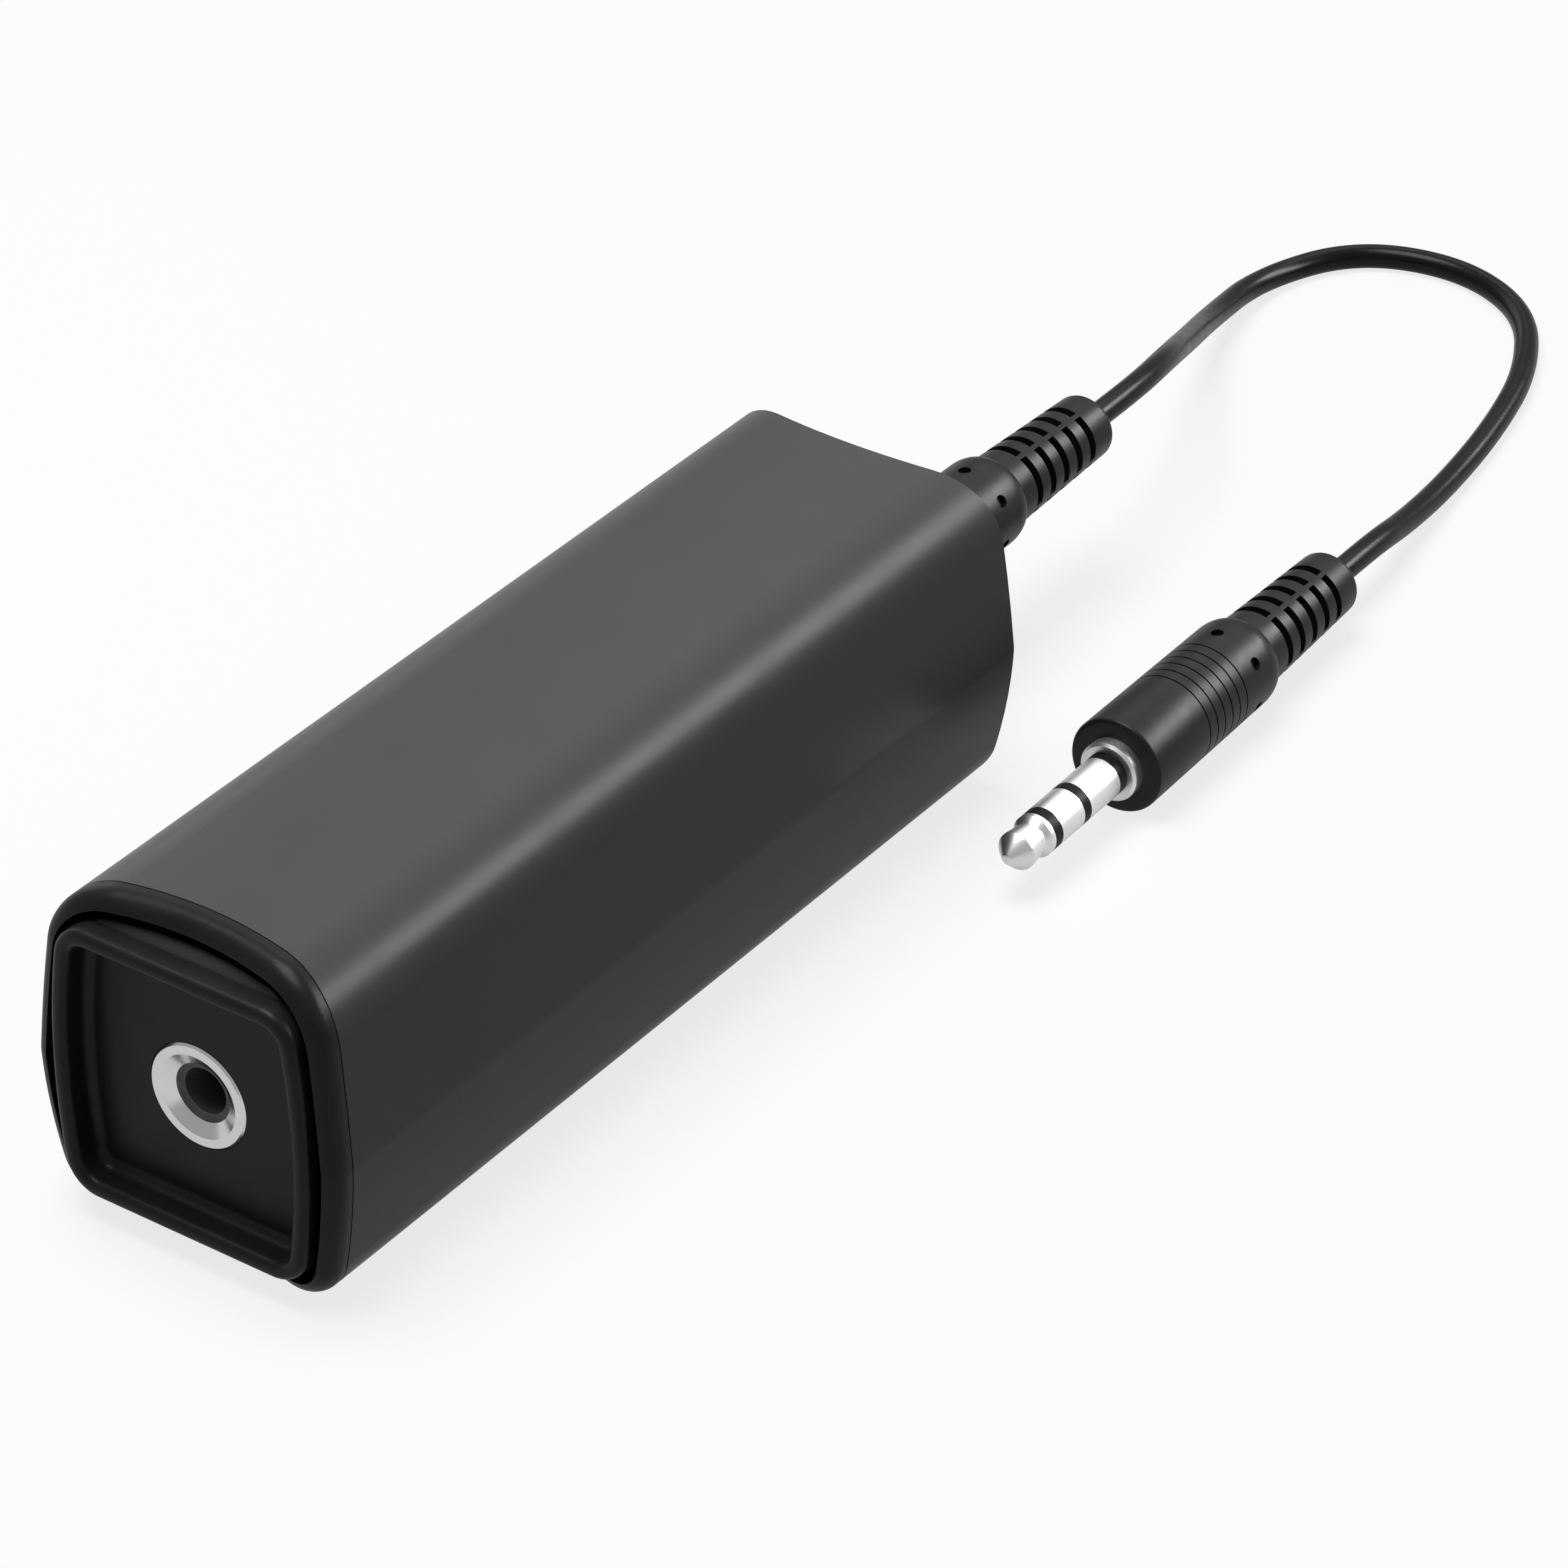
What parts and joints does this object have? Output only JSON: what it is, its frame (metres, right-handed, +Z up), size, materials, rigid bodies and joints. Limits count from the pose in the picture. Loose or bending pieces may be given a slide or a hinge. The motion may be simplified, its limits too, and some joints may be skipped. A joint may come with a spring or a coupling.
{
  "type": "ground loop isolator",
  "caption": "Grey tube-shaped audio isolator with a 3.5 mm stereo jack in each black end and a short black plug-to-plug lead.",
  "frame": {"origin": "middle of the housing's footprint, on the surface that it stands on", "axes": "+Y along the housing, from the front jack to the rear jack that the lead is plugged into; +Z up"},
  "size_m": [0.0385, 0.17, 0.0269],
  "materials": {
    "housing_grey": "satin",
    "black_plastic": "satin",
    "ring_chrome": "polished",
    "jack_plastic": "matte",
    "spring_bronze": "satin",
    "board_laminate": "gloss",
    "core_steel": "satin",
    "bobbin_plastic": "matte",
    "copper_wire": "gloss",
    "winding_tape": "gloss",
    "tinned_pin": "satin",
    "handle_pvc": "satin",
    "insulator_plastic": "matte",
    "plug_nickel": "polished",
    "cord_pvc": "satin"
  },
  "bodies": {
    "root": {"circuit_board": "board_laminate", "cord": "cord_pvc", "free_plug_collar": "plug_nickel", "free_plug_handle": "handle_pvc", "free_plug_insulator": "insulator_plastic", "free_plug_ring_contact": "plug_nickel", "free_plug_sleeve_contact": "plug_nickel", "free_plug_tip_contact": "plug_nickel", "front_bezel": "black_plastic", "front_jack_body": "jack_plastic", "front_jack_ring": "ring_chrome", "front_jack_ring_spring": "spring_bronze", "front_jack_sleeve_spring": "spring_bronze", "front_jack_tip_spring": "spring_bronze", "front_panel": "black_plastic", "housing_sleeve": "housing_grey", "left_transformer_bobbin": "bobbin_plastic", "left_transformer_core": "core_steel", "left_transformer_pin_1": "tinned_pin", "left_transformer_pin_2": "tinned_pin", "left_transformer_pin_3": "tinned_pin", "left_transformer_pin_4": "tinned_pin", "left_transformer_pin_5": "tinned_pin", "left_transformer_pin_6": "tinned_pin", "left_transformer_primary_winding": "copper_wire", "left_transformer_secondary_winding": "copper_wire", "left_transformer_tape": "winding_tape", "rear_bezel": "black_plastic", "rear_jack_body": "jack_plastic", "rear_jack_ring": "ring_chrome", "rear_jack_ring_spring": "spring_bronze", "rear_jack_sleeve_spring": "spring_bronze", "rear_jack_tip_spring": "spring_bronze", "rear_panel": "black_plastic", "rear_plug_collar": "plug_nickel", "rear_plug_handle": "handle_pvc", "rear_plug_insulator": "insulator_plastic", "rear_plug_ring_contact": "plug_nickel", "rear_plug_sleeve_contact": "plug_nickel", "rear_plug_tip_contact": "plug_nickel", "right_transformer_bobbin": "bobbin_plastic", "right_transformer_core": "core_steel", "right_transformer_pin_1": "tinned_pin", "right_transformer_pin_2": "tinned_pin", "right_transformer_pin_3": "tinned_pin", "right_transformer_pin_4": "tinned_pin", "right_transformer_pin_5": "tinned_pin", "right_transformer_pin_6": "tinned_pin", "right_transformer_primary_winding": "copper_wire", "right_transformer_secondary_winding": "copper_wire", "right_transformer_tape": "winding_tape"}
  },
  "joints": []
}
